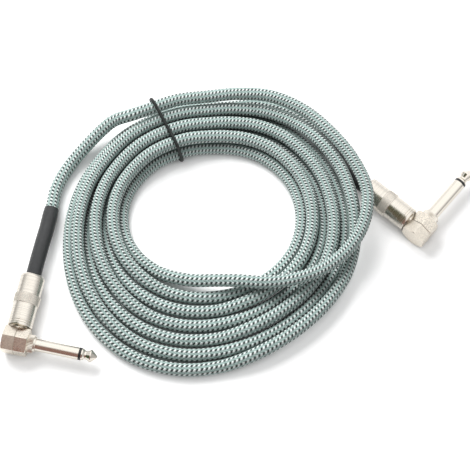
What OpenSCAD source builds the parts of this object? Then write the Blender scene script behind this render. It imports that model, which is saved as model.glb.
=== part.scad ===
// Instrument cable: seven piled turns of jacketed cord, with a right-angle jack plug on each end.
// Millimetres, +Z up. The surface that it lies on is z = 0, and the origin is under the middle
// of the plugs and the tie together.
//
// Each plug is built in its own frame: its shaft points along +X, its barrel along +Y, and the
// two axes cross at the origin. Each plug keeps its offset from the end of the coil that its
// lead comes from, so the plugs follow a coil of another size.

/* [Cable] */
// Diameter over the woven jacket
cable_d = 6.5; // [5.5:0.1:7]
// Diameter of the insulated core inside the jacket
core_d = 3.2; // [2.6:0.1:3.6]

/* [Coil] */
// Turns in the pile
turns = 7; // [5:2:9]
// Mean radius of the innermost turn
coil_r = 39.8; // [36:0.1:60]
// Least gap between turns that lie against each other
turn_gap = 0.7; // [0.7:0.1:1]

/* [Jack shaft] */
// Diameter of the long earth contact
shaft_d = 6.35; // [6.3:0.01:6.4]
// Length of the long earth contact
shaft_len = 21.9; // [18:0.1:26]
// Length of the black ring between the contacts
ring_len = 1.3; // [0.8:0.1:2]
// Length of the tip contact
tip_len = 8; // [7:0.1:9]
// Diameter of the rod that joins the tip to its lug
rod_d = 2.2; // [1.6:0.1:2.4]

/* [Head] */
// Hexagonal head, across its flats
head_af = 12.5; // [12:0.1:16]
// Length of the head along the shaft
head_len = 12.6; // [12:0.1:18]
// Diameter of the serrated collar
collar_d = 9; // [8:0.1:11]
// Length of the serrated collar, with its plain step
collar_len = 3.8; // [3:0.1:6]

/* [Barrel] */
// Diameter of the barrel
barrel_d = 12.5; // [11.8:0.1:12.8]
// Length of the barrel
barrel_len = 27.7; // [24:0.1:34]
// Diameter over the knurled band
knurl_d = 13.2; // [13:0.1:13.8]
// Length of the knurled band
knurl_len = 5; // [3:0.1:8]
// Distance from the barrel's head end to the knurled band
knurl_at = 11.7; // [8:0.1:14]
// Pitch of the thread that holds the barrel on
thread_pitch = 0.8; // [0.5:0.05:1]
// Turns that free the barrel
thread_turns = 5; // [3:1:6]

/* [Strain sleeve] */
// Wall of the sleeve on the cable
sleeve_wall = 0.6; // [0.4:0.05:0.7]

/* [Tie] */
// Diameter of the cord tied round the pile
tie_d = 1.7; // [1:0.1:2.5]

/* [Hidden] */

jacket = "#a9c7c1";
nickel = "#c9c2b2";
satin_nickel = "#b9a99c";
black = "#1c1c1d";
copper = "#b5754a";
clear_plastic = "#d8d8d0";

cord_r = cable_d / 2;
step = cable_d + turn_gap;          // centre to centre where turns touch
sleeve_d = cable_d + 2 * sleeve_wall;
corner_d = head_af / cos(30);       // head, across its corners
axis_z = corner_d / 2;              // the head rests on one of its long corners

// ---- Route of the coil ----
// t counts turns, clockwise from above, from where the left lead joins. The first turn lies
// outermost, on top. It crosses over all the others, drops a layer and becomes the innermost.
// From there the cord spirals out at a steady rate, in two layers: each second turn lies in
// the groove between its neighbours, and turns change layer where they lie side by side.
coil_x = -14.2;
coil_y = 11.6;
start_angle = 123;                  // where t = 0
tie_angle = 119;
t_end = turns + 1 / 8;
t_swap = 0.64;                      // where each turn changes layer
cross_from = 0.315;                 // the first turn's crossing
cross_to = 0.58;
rings_per_turn = 24;
first_slot = turns + 0.05;          // place of the first turn, counted in turns from the middle
barrel_angle = 8;                   // where the first turn lies over the right plug's barrel
thread_len = thread_pitch * thread_turns;

function ease(x) = let (c = min(max(x, 0), 1)) c * c * (3 - 2 * c);
function turn_apart(a, b) = abs((a - b + 540) % 360 - 180);
function bump(a, centre, half, flat) = ease(flat * (1 - turn_apart(a, centre) / half));
function angle_at(t) = start_angle + 3600 - 360 * t;

// Radius of the innermost turn, by direction: an oval that leans a little
function inner_r(a) = coil_r - cos(a) - 3 * sin(a) + 3.5 * cos(2 * a) + 0.6 * sin(2 * a)
    - 0.4 * cos(3 * a) - 0.2 * sin(3 * a);

// How far the first turn has crossed over the others, from 0 to 1
function crossed(t) = ease((t - cross_from) / (cross_to - cross_from));

// Spacing of the turns by direction, as a share of step: close at the tie, wide at the front.
// All but the first turn are a little closer where the right plug's barrel lies beside them.
function spread(a) = max(0.51, 0.723 + 0.062 * cos(a) - 0.236 * sin(a) - 0.047 * cos(2 * a)
    + 0.066 * sin(2 * a) + 0.034 * cos(3 * a) + 0.017 * sin(3 * a) - 0.005 * cos(4 * a)
    - 0.019 * sin(4 * a));
function pinch(t) = 1 - 0.07 * crossed(t) * bump(angle_at(t), 16, 44, 1.4);

function first_turn_slot(t) = first_slot - 0.65 * ease((t - 0.17) / 0.08)
    + 0.4 * ease((t - 0.27) / 0.05);
// Just after it drops, the first turn lies a little further in than the turns' steady spacing
function dip(t) = 0.08 * ease(1.5 * (1 - abs(t - t_swap - 0.05) / 0.1));
function slot(t) = first_turn_slot(t) * (1 - crossed(t))
    + (max(t - t_swap, 0) - dip(t)) * crossed(t);
function radius(t) = inner_r(angle_at(t)) + slot(t) * spread(angle_at(t)) * pinch(t) * step;

// Height that a turn needs to clear another one whose centre is this far away in plan
function ride(apart) = sqrt(max(0, step * step - apart * apart));
function upper_layer(t) = floor(t - t_swap) % 2 == 1;
// The outermost turn rises over the right plug's strain sleeve
function sleeve_rise(t) = t > turns - 1 ? 5 * bump(angle_at(t), 18, 40, 1.5) : 0;
function lift(t) = !upper_layer(t) ? 0 : sleeve_rise(t) + max([for (n = [t - 1, t + 1])
    n < t_swap || n > t_end + 0.2 ? 0 : ride(radius(n) - radius(t))]);

// The first turn rides over every turn under it, and over the right plug's barrel. While it
// crosses them aslant, it is nearer to them than it is along the radius.
function squareness(t) = 1 - 0.22 * ease((t - cross_from + 0.035) / 0.1)
    * ease((cross_to + 0.02 - t) / 0.05);
function over_turns(t) = max([for (j = [1 : turns]) let (apart = squareness(t)
    * abs(radius(t + j) - radius(t))) apart < step && t + j < t_end + 0.2
    ? lift(t + j) + ride(apart) : 0]);
function over_barrel(t) = (axis_z + barrel_d / 2 + 0.5) * bump(angle_at(t), barrel_angle, 34, 1.5);
function raw_lift(t) = t < t_swap ? max(over_turns(t), over_barrel(t)) : lift(t);

coil_t = [for (i = [0 : t_end * rings_per_turn]) i / rings_per_turn];
raw_lifts = [for (t = coil_t) raw_lift(t)];
last_ring = len(coil_t) - 1;

// The first turn's height changes gently from ring to ring
function crest(i) = max([for (k = [max(i - 1, 0) : min(i + 1, last_ring)]) raw_lifts[k]]);
function mean(list) = list * [for (x = list) 1] / len(list);
function soft_lift(i) = mean([for (k = [max(i - 2, 0) : i + 2]) crest(k)]);
function ring_lift(i) = coil_t[i] < t_swap ? max(soft_lift(i), raw_lifts[i])
    : coil_t[i] < t_swap + 0.04 ? soft_lift(i) : raw_lifts[i];

// The whole pile lies on the tie where the tie passes under it
tie_gap = 0.15;
function tie_rise(a) = (tie_d + tie_gap) * bump(a, tie_angle, 36, 1.6);

coil_path = [for (i = [0 : last_ring]) let (t = coil_t[i], a = angle_at(t))
    [coil_x + radius(t) * cos(a), coil_y + radius(t) * sin(a),
     cord_r + ring_lift(i) + tie_rise(a)]];

// ---- Plugs: where they lie, from the ends of the coil ----
function unit(v) = v / norm(v);
coil_ends = [coil_path[0], coil_path[last_ring]];
function level_way(from, to) = unit([to[0] - from[0], to[1] - from[1], 0]);
end_ways = [level_way(coil_path[1], coil_path[0]),
    level_way(coil_path[last_ring - 1], coil_path[last_ring])];
plug_offsets = [[-62.9, -121.2], [92.65, -69.3]];
reach = max(1, radius(t_end) / 60);  // the offsets grow with a wider pile
barrel_ways = [78, 139.5];          // direction of each barrel, from the head to the cable
function from_end(side, p, z) = [coil_ends[side][0] + reach * p[0],
    coil_ends[side][1] + reach * p[1], z];
function plug_at(side) = from_end(side, plug_offsets[side], axis_z);
// A point of a plug: c along its barrel, s to the shaft's side, at a height
function by_plug(side, c, s, z) = let (w = barrel_ways[side], o = plug_at(side))
    [o[0] + c * cos(w) + s * sin(w), o[1] + c * sin(w) - s * cos(w), z];

// ---- Plug dimensions ----
clearance = 0.15;
head_face = head_len / 2;
bevel_w = 0.6;                      // at the corners of the head's two ends
bevel_h = 0.35;
barrel_at = head_af / 2 + 0.75;     // the barrel's head end, from the shaft's axis
barrel_end = barrel_at + barrel_len;
spigot_d = barrel_d - 2;
spigot_end = barrel_at + thread_len + 2;
mouth_d = spigot_d + 2 * clearance;
cavity_d = mouth_d - 0.5;
cavity_at = spigot_end + 1.2;
groove_at = [1.5, 2.6];             // turned rings, from the barrel's head end
groove_depth = 0.12;
end_wall = 2;
barrel_exit_d = sleeve_d + 0.6;
cable_bore_d = 7;
cup_d = head_af - 2.1;              // the part of the head body that the cap slides over
cup_len = head_face - 1.2;
chamber_d = cup_d - 2;
chamber_end = head_face - 2;
stem_d = 5;
bore_d = 3.6;                       // the earth contact's bore, and the insulator in it
shaft_at = head_face + collar_len;
ring_at = shaft_at + shaft_len;
tip_at = ring_at + ring_len;
jacket_end = spigot_end + 1;        // where the jacket is cut back
crimp_d = cable_bore_d - 0.2;
shield_d = 5.2;
lug_x = -0.8;
wire_d = 1;
sleeve_from = jacket_end + 2;
sleeve_points = [6, 7];             // points of each lead that its strain sleeve covers

// ---- Route of the leads ----
// Offsets from the end of the coil, and heights above where the cord rests
left_points = [[-17.5, -4.8, 8.6], [-24.7, -9.7, 5.2], [-31.5, -16.1, 2.4], [-37.8, -23.3, 0.6],
    [-42.9, -31.2, 0], [-46.4, -39.6, 0.2]];
right_points = [[16.1, -0.6, 0], [23.4, -3, 0], [30.4, -6.6, 0], [36.9, -11.3, 0.1],
    [43.2, -17.2, sleeve_wall], [49.1, -24.1, sleeve_wall + 0.1], [54.1, -30.7, sleeve_wall + 0.6]];
left_straight = [[72.5, -0.4, 0.8], [62, 0, 2], [51, 0, 3.5], [41, 0, axis_z - cord_r]];
right_straight = [[49.5, 1.7, 2.1], [41, 0, axis_z - cord_r - 0.1]];
function lead_path(side, points, straight) = let (e = coil_ends[side]) concat(
    [e, e + 1.25 * cable_d * end_ways[side]],
    [for (p = points) from_end(side, p, cord_r + p[2])],
    [for (p = straight) by_plug(side, p[0], p[1], cord_r + p[2])],
    [for (c = [34, sleeve_from, jacket_end]) by_plug(side, c, 0, axis_z)]);
lead_paths = [lead_path(0, left_points, left_straight), lead_path(1, right_points, right_straight)];

// ---- Tubes ----
function way(path, i, first_way, last_way = []) = i == 0 && first_way != [] ? first_way
    : i == len(path) - 1 && last_way != [] ? last_way
    : unit(path[min(i + 1, len(path) - 1)] - path[max(i - 1, 0)]);
// One ring of a tube round a point, its first corner straight up
function ring(centre, w, r, sides) = let (across = unit(cross(w, [0, 0, 1])), up = cross(across, w))
    [for (k = [0 : sides - 1]) let (a = 360 * k / sides)
        centre + r * (across * sin(a) + up * cos(a))];
// Triangles between rings whose first corners are numbered in starts
function skin(starts, sides) = [for (i = [0 : len(starts) - 2]) for (k = [0 : sides - 1])
    let (n = (k + 1) % sides, a = starts[i] + k, b = starts[i] + n, c = starts[i + 1] + k,
         d = starts[i + 1] + n)
    for (face = [[a, c, b], [b, c, d]]) face];
function cap(first, sides) = [for (k = [1 : sides - 2]) [first, first + k, first + k + 1]];
function turned(faces) = [for (face = faces) [face[0], face[2], face[1]]];
function starts(rings, sides, from = 0) = [for (i = [0 : rings - 1]) from + i * sides];

// A cord along a path, closed at both ends
module cord(path, r, sides, first_way = [], last_way = []) {
    rings = len(path);
    points = [for (i = [0 : rings - 1])
        each ring(path[i], way(path, i, first_way, last_way), r, sides)];
    polyhedron(points, concat(cap(0, sides), skin(starts(rings, sides), sides),
        turned(cap((rings - 1) * sides, sides))));
}

// A loop of cord that closes on itself
module cord_loop(path, r, sides) {
    rings = len(path);
    points = [for (i = [0 : rings - 1])
        each ring(path[i], unit(path[(i + 1) % rings] - path[(i + rings - 1) % rings]), r, sides)];
    polyhedron(points, skin(concat(starts(rings, sides), [0]), sides));
}

// A sleeve along a path, open at both ends; each ring has its own outer radius
module sleeve(path, radii, bore_r, sides, first_way) {
    rings = len(path);
    outer = [for (i = [0 : rings - 1])
        each ring(path[i], way(path, i, first_way), radii[i], sides)];
    inner = [for (i = [0 : rings - 1])
        each ring(path[i], way(path, i, first_way), bore_r, sides)];
    out_starts = starts(rings, sides);
    in_starts = starts(rings, sides, rings * sides);
    first_lip = skin([in_starts[0], out_starts[0]], sides);
    last_lip = skin([out_starts[rings - 1], in_starts[rings - 1]], sides);
    polyhedron(concat(outer, inner), concat(skin(out_starts, sides),
        turned(skin(in_starts, sides)), first_lip, last_lip));
}

// ---- Placing and turning ----
module place(side) {
    translate(plug_at(side)) rotate(barrel_ways[side] - 90) children();
}
module on_shaft(x) {
    translate([x, 0, 0]) rotate([0, 90, 0]) children();
}
module on_barrel(y) {
    translate([0, y, 0]) rotate([-90, 0, 0]) children();
}
module pipe(outer_d, inner_d, length) {
    difference() {
        cylinder(d = outer_d, h = length);
        translate([0, 0, -1]) cylinder(d = inner_d, h = length + 2);
    }
}

// ---- Head ----
// Cuts the corners off a hexagon whose end is at z = 0
module end_bevel() {
    r = corner_d / 2;
    rotate_extrude() polygon([[r - 2 * bevel_w, bevel_h], [r + bevel_w, -2 * bevel_h],
        [r + bevel_w, bevel_h]]);
}

module head_body() {
    color(satin_nickel) difference() {
        union() {
            on_shaft(0) cylinder(d = corner_d, h = head_face, $fn = 6);
            on_shaft(-cup_len) cylinder(d = cup_d, h = cup_len + 1);
            on_barrel(0) cylinder(d = spigot_d, h = spigot_end);
        }
        on_shaft(head_face) end_bevel();
        on_shaft(-head_len) cylinder(d = chamber_d, h = head_len + chamber_end);
        on_shaft(0) cylinder(d = stem_d, h = head_len);
        on_barrel(0) cylinder(d = cable_bore_d, h = spigot_end + 1);
    }
}

module head_cap() {
    color(satin_nickel) difference() {
        on_shaft(-head_face) cylinder(d = corner_d, h = head_face, $fn = 6);
        on_shaft(-head_face) mirror([0, 0, 1]) end_bevel();
        on_shaft(-cup_len) cylinder(d = cup_d + 0.1, h = cup_len + 1);
        on_barrel(0) cylinder(d = spigot_d + 2 * clearance, h = head_af);
    }
}

// The serrated ring that clamps the shaft, with a plain step in front
collar_teeth = 36;
collar_step = 1;
module collar() {
    tooth_depth = 0.3;
    color(nickel) on_shaft(head_face) difference() {
        union() {
            linear_extrude(collar_len - collar_step)
                polygon([for (k = [0 : 2 * collar_teeth - 1]) let (a = 180 * k / collar_teeth)
                    (collar_d / 2 - tooth_depth * (k % 2)) * [cos(a), sin(a)]]);
            cylinder(d = shaft_d + 1.2, h = collar_len);
        }
        translate([0, 0, -1]) cylinder(d = stem_d, h = collar_len + 2);
    }
}

// ---- Shaft ----
module shaft_sleeve() {
    color(nickel) difference() {
        union() {
            on_shaft(chamber_end) cylinder(d = stem_d, h = shaft_at - chamber_end + 1);
            on_shaft(shaft_at) cylinder(d = shaft_d, h = shaft_len);
        }
        on_shaft(0) cylinder(d = bore_d, h = ring_at + 1);
    }
}

module tip_insulator() {
    color(black) on_shaft(ring_at) pipe(shaft_d - 0.05, rod_d, ring_len);
}

module core_insulator() {
    color(clear_plastic) on_shaft(chamber_end - 2) pipe(bore_d, rod_d, ring_at - chamber_end + 2);
}

// The tip contact: a shoulder, a waist that the jack's spring drops into, and a pointed nose
module tip() {
    shoulder_r = shaft_d / 2 - 0.2;
    waist_r = shaft_d / 2 - 0.9;
    nose_r = shaft_d / 2 - 0.02;
    nose_at = tip_len - 3.3;
    point_r = 0.6;
    color(nickel) {
        on_shaft(tip_at) rotate_extrude() polygon([
            [0, 0], [shoulder_r, 0], [shoulder_r, 0.7], [waist_r, 1.6], [waist_r, 2.4],
            [nose_r, nose_at - 0.3], [nose_r, nose_at + 0.2], [point_r + 0.15, tip_len - 0.35],
            [point_r - 0.2, tip_len - 0.06], [0, tip_len]]);
        on_shaft(lug_x - 0.6) cylinder(d = rod_d, h = tip_at - lug_x + 1);
    }
}

// ---- Inside the head ----
// The lug on the tip's rod, which the inner conductor is soldered to
module tip_lug() {
    lug_thick = 0.5;
    tongue_w = 1.8;
    tongue_end = chamber_d / 2 - 0.3;
    color(nickel) difference() {
        union() {
            on_shaft(lug_x - lug_thick) cylinder(d = 2 * rod_d, h = lug_thick);
            translate([lug_x - lug_thick, 0, -tongue_w / 2])
                cube([lug_thick, tongue_end, tongue_w]);
        }
        on_shaft(lug_x - 2) cylinder(d = rod_d, h = 4);
    }
}

// The earth strip: a washer on the shaft's stem, and a strap to a crimp round the shield
module ground_clamp() {
    washer_t = 0.6;
    strap_t = 0.6;
    strap_w = 2.2;
    strap_x = shield_d / 2 + 0.05;
    strap_from = bore_d / 2 + 0.4;
    crimp_at = jacket_end - 3.6;
    crimp_len = 3.2;
    color(nickel) difference() {
        union() {
            on_shaft(chamber_end - washer_t) pipe(chamber_d - 0.8, bore_d, washer_t);
            translate([strap_x, strap_from, -strap_w / 2])
                cube([chamber_end - strap_x, 1.4, strap_w]);
            translate([strap_x, strap_from, -strap_w / 2])
                cube([strap_t, crimp_at + crimp_len - strap_from, strap_w]);
            on_barrel(crimp_at) pipe(crimp_d, shield_d, crimp_len);
        }
        translate([-crimp_d, crimp_at - 1, -0.8]) cube([crimp_d - 1, crimp_len + 2, 1.6]);
    }
}

module inner_conductor() {
    core_from = chamber_d / 2 + 0.2;
    color(copper) {
        on_barrel(core_from) cylinder(d = core_d, h = jacket_end - core_from);
        translate([lug_x + wire_d / 2, 0, 0])
            on_barrel(rod_d / 2 + 0.5) cylinder(d = wire_d, h = core_from - rod_d / 2);
    }
}

module shield_tail() {
    shield_from = jacket_end - 3.6;
    color(copper) on_barrel(shield_from) pipe(shield_d, core_d, jacket_end - shield_from);
}

// ---- Barrel ----
// Outline of the barrel's wall, as radius and distance along it
module barrel() {
    mouth_r = mouth_d / 2;
    cavity_r = cavity_d / 2;
    exit_r = barrel_exit_d / 2;
    r = barrel_d / 2;
    edge = 0.4;
    shoulder = end_wall;
    inner_shoulder = barrel_end - end_wall;
    knurl_from = barrel_at + knurl_at;
    knurl_r = knurl_d / 2;
    shoulder_points = [for (a = [0 : 15 : 75])
        [r - shoulder * 0.9 * (1 - cos(a)), barrel_end - shoulder * (1 - sin(a))]];
    color(nickel) on_barrel(0) rotate_extrude() polygon(concat(
        [[mouth_r, barrel_at], [r - edge, barrel_at], [r, barrel_at + edge]],
        [for (g = groove_at) for (side = [-1, 0, 1])
            [r - (side == 0 ? groove_depth : 0), barrel_at + g + side * groove_depth]],
        [[r, knurl_from], [knurl_r - 0.1, knurl_from + 0.2], [knurl_r, knurl_from + 0.5],
         [knurl_r, knurl_from + knurl_len - 0.5], [knurl_r - 0.1, knurl_from + knurl_len - 0.2],
         [r, knurl_from + knurl_len]],
        shoulder_points,
        [[exit_r, barrel_end], [exit_r, inner_shoulder], [cavity_r, inner_shoulder],
         [cavity_r, cavity_at], [mouth_r, cavity_at]]));
}

// The insulating tube inside the barrel, which slides with it but doesn't turn
module barrel_liner() {
    end_play = 0.3;
    wall = 0.4;
    color(clear_plastic) on_barrel(cavity_at + end_play)
        pipe(cavity_d - 0.2, cavity_d - 0.2 - 2 * wall, barrel_end - end_wall - cavity_at - 2 * end_play);
}

// ---- Cable ----
module strain_sleeve(side) {
    path = lead_paths[side];
    last = len(path) - 2;
    from = last - sleeve_points[side] + 1;
    sleeve_r = sleeve_d / 2;
    sleeve_path = [for (i = [from : last]) path[i]];
    radii = [for (i = [from : last]) i == from ? sleeve_r - 0.15 : sleeve_r];
    color(black) sleeve(sleeve_path, radii, cord_r + 0.02, 12, way(path, from, []));
}

module lead(side) {
    color(jacket) cord(lead_paths[side], cord_r, 12, end_ways[side]);
}

module cable_coil() {
    color(jacket) cord(coil_path, cord_r, 6, -end_ways[0], end_ways[1]);
}

// Least gap of the cord to itself, measured between points along the coil and the leads
whole_path = concat([for (i = [len(lead_paths[0]) - 1 : -1 : 1]) lead_paths[0][i]], coil_path,
    [for (i = [1 : len(lead_paths[1]) - 1]) lead_paths[1][i]]);
parts_per_ring = 4;
dense = [for (i = [0 : len(whole_path) - 2]) for (k = [0 : parts_per_ring - 1])
    whole_path[i] + (whole_path[i + 1] - whole_path[i]) * k / parts_per_ring];
apart_from = 2 * ceil(4 * cable_d / (2 * PI * coil_r / rings_per_turn)) * parts_per_ring;
module report_gap() {
    gap = min([for (i = [0 : len(dense) - 1]) for (j = [i + apart_from : 1 : len(dense) - 1])
        norm(dense[i] - dense[j])]) - cable_d;
    echo(least_gap_of_the_cord_to_itself = gap);
}

// ---- Tie ----
// Corners of the pile where the tie passes: distance from the middle, and height
function pile_corner(turn) = let (t = turn + (start_angle - tie_angle) / 360)
    [radius(t), cord_r + tie_rise(tie_angle)
     + (turn == 0 ? ring_lift(0) : raw_lift(t))];
pile_corners = [pile_corner(1), pile_corner(turns), pile_corner(0), pile_corner(2)];
tie_r = tie_d / 2;
tie_out = cord_r + tie_gap + tie_r;
function edge_angle(i) = let (e = pile_corners[(i + 1) % 4] - pile_corners[i % 4])
    atan2(e[1], e[0]) - 90;
function turn_from(a, b) = (b - a + 720) % 360;
tie_path = [for (i = [0 : 3]) let (a = edge_angle(i + 3), sweep = turn_from(a, edge_angle(i)))
    for (k = [0 : 4]) let (b = a + sweep * k / 4, c = pile_corners[i],
        out = c[0] + tie_out * cos(b))
    [coil_x + out * cos(tie_angle), coil_y + out * sin(tie_angle), c[1] + tie_out * sin(b)]];

module cable_tie() {
    color(black) cord_loop(tie_path, tie_r, 8);
}

place(0) head_body();  // left_head_body
place(0) head_cap();  // left_head_cap
place(0) collar();  // left_collar
place(0) shaft_sleeve();  // left_shaft_sleeve
place(0) tip();  // left_tip
place(0) tip_insulator();  // left_tip_insulator
place(0) core_insulator();  // left_core_insulator
place(0) tip_lug();  // left_tip_lug
place(0) ground_clamp();  // left_ground_clamp
place(0) inner_conductor();  // left_inner_conductor
place(0) shield_tail();  // left_shield_tail
place(0) barrel();  // left_barrel
place(0) barrel_liner();  // left_barrel_liner
strain_sleeve(0);  // left_strain_sleeve
lead(0);  // left_lead
place(1) head_body();  // right_head_body
place(1) head_cap();  // right_head_cap
place(1) collar();  // right_collar
place(1) shaft_sleeve();  // right_shaft_sleeve
place(1) tip();  // right_tip
place(1) tip_insulator();  // right_tip_insulator
place(1) core_insulator();  // right_core_insulator
place(1) tip_lug();  // right_tip_lug
place(1) ground_clamp();  // right_ground_clamp
place(1) inner_conductor();  // right_inner_conductor
place(1) shield_tail();  // right_shield_tail
place(1) barrel();  // right_barrel
place(1) barrel_liner();  // right_barrel_liner
strain_sleeve(1);  // right_strain_sleeve
lead(1);  // right_lead
cable_coil();
cable_tie();
report_gap();
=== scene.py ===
"""Instrument cable: a piled, tied cord in a woven jacket, with a right-angle plug on each end.

The collars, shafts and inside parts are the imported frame's solids. This file finishes them, and
makes the heads, barrels, cord, strain sleeves and tie. Everything is in metres, in the frame's
own axes.
"""

import math

import bmesh
import bpy
from mathutils import Matrix, Vector


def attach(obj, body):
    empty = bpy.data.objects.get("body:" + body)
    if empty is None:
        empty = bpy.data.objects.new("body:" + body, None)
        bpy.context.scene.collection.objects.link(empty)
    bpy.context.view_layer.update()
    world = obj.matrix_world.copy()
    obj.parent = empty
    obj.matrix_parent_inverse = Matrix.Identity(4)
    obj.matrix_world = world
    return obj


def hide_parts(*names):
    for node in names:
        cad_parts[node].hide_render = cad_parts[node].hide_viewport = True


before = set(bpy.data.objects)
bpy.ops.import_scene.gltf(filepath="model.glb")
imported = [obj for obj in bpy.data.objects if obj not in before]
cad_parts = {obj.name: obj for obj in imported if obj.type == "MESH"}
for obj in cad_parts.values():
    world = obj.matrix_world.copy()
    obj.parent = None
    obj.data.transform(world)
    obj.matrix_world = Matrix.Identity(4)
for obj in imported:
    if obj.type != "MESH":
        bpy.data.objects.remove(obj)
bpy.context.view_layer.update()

bl_info = {
    "name": "Instrument Cable",
    "version": (1, 0, 0),
    "blender": (4, 5, 0),
    "location": "3D View > Sidebar > Cable",
    "description": "Builds a coiled instrument cable with two right-angle jack plugs",
    "category": "Object",
}

MM = 0.001
SIDES = ("left", "right")


# ---- Sizes and colours ----
class CableSizes(bpy.types.PropertyGroup):
    cord_d: bpy.props.FloatProperty(
        name="Cord diameter", description="Over the woven jacket",
        default=6.5 * MM, unit="LENGTH")
    coil_r: bpy.props.FloatProperty(
        name="Inner turn radius", description="Mean radius of the innermost turn",
        default=39.8 * MM, unit="LENGTH")
    turn_gap: bpy.props.FloatProperty(
        name="Gap between turns", description="Least gap between turns that lie together",
        default=0.7 * MM, unit="LENGTH")
    sleeve_wall: bpy.props.FloatProperty(
        name="Sleeve wall", description="Wall of the shrunk sleeve on the cord",
        default=0.6 * MM, unit="LENGTH")
    tie_d: bpy.props.FloatProperty(
        name="Tie diameter", description="Cord that is tied round the pile",
        default=1.7 * MM, unit="LENGTH")
    stitch: bpy.props.FloatProperty(
        name="Stitch spacing", description="Along the leads, between pale stitches of one row",
        default=1.93 * MM, unit="LENGTH")
    carriers: bpy.props.IntProperty(
        name="Pale yarns", description="Yarns that wind one way round the braid",
        default=8, min=4, max=16)
    knurls: bpy.props.IntProperty(
        name="Knurl points", description="Diamonds round the barrel's knurled band",
        default=44, min=12, max=80)


def hex_colour(name, what, value):
    return bpy.props.StringProperty(name=name, description=what, default=value)


class CableColours(bpy.types.PropertyGroup):
    pale_yarn: hex_colour("Pale yarn", "Yarn of the raised stitches", "#F6FCFA")
    teal_yarn: hex_colour("Teal yarn", "Yarn between the stitches", "#A9C0BB")
    jacket_gap: hex_colour("Jacket gaps", "What shows between the stitches", "#141D1C")
    nickel: hex_colour("Nickel", "Bright nickel plate", "#D6D0C6")
    knurl: hex_colour("Knurl", "Nickel plate on the knurled band", "#EAE3D8")
    satin_nickel: hex_colour("Satin nickel", "Blasted nickel plate", "#E3DBCE")
    sleeve: hex_colour("Sleeve", "Shrunk sleeve", "#333435")
    tie: hex_colour("Tie", "Tie cord", "#1D2120")


class StageSettings(bpy.types.PropertyGroup):
    camera_distance: bpy.props.FloatProperty(
        name="Camera distance", description="From the camera to the middle of the pile",
        default=0.9, unit="LENGTH")
    camera_height: bpy.props.FloatProperty(
        name="Camera elevation", description="Angle above the floor",
        default=math.radians(69.5), subtype="ANGLE")
    key_power: bpy.props.FloatProperty(
        name="Key light", description="Power of the large lamp", default=20.5)
    sky: bpy.props.FloatProperty(
        name="Sky", description="Strength of the even light from all round", default=0.32)
    paper: hex_colour("Paper", "Floor", "#F2F2F2")
    room_left: hex_colour("Room, left", "Dim room that the metal shows at its left", "#566049")
    room_front: hex_colour("Room, front", "Dim room that the metal shows in front", "#A4837B")


# ---- Route of the cord: the same formulas as the solids' ----
def ease(x):
    """From 0 to 1, with a soft start and end"""
    c = min(max(x, 0.0), 1.0)
    return c * c * (3 - 2 * c)


def bump(a, centre, half, flat):
    """From 0 to 1 and back as an angle passes a centre. A higher flat keeps it at 1 longer"""
    apart = abs((a - centre + 540) % 360 - 180)
    return ease(flat * (1 - apart / half))


def cosd(a):
    return math.cos(math.radians(a))


def sind(a):
    return math.sin(math.radians(a))


def waves(a, table):
    """Sum of the waves round a circle that a table gives: how many, cosine part, sine part"""
    return sum(c * cosd(n * a) + s * sind(n * a) for n, c, s in table)


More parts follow.
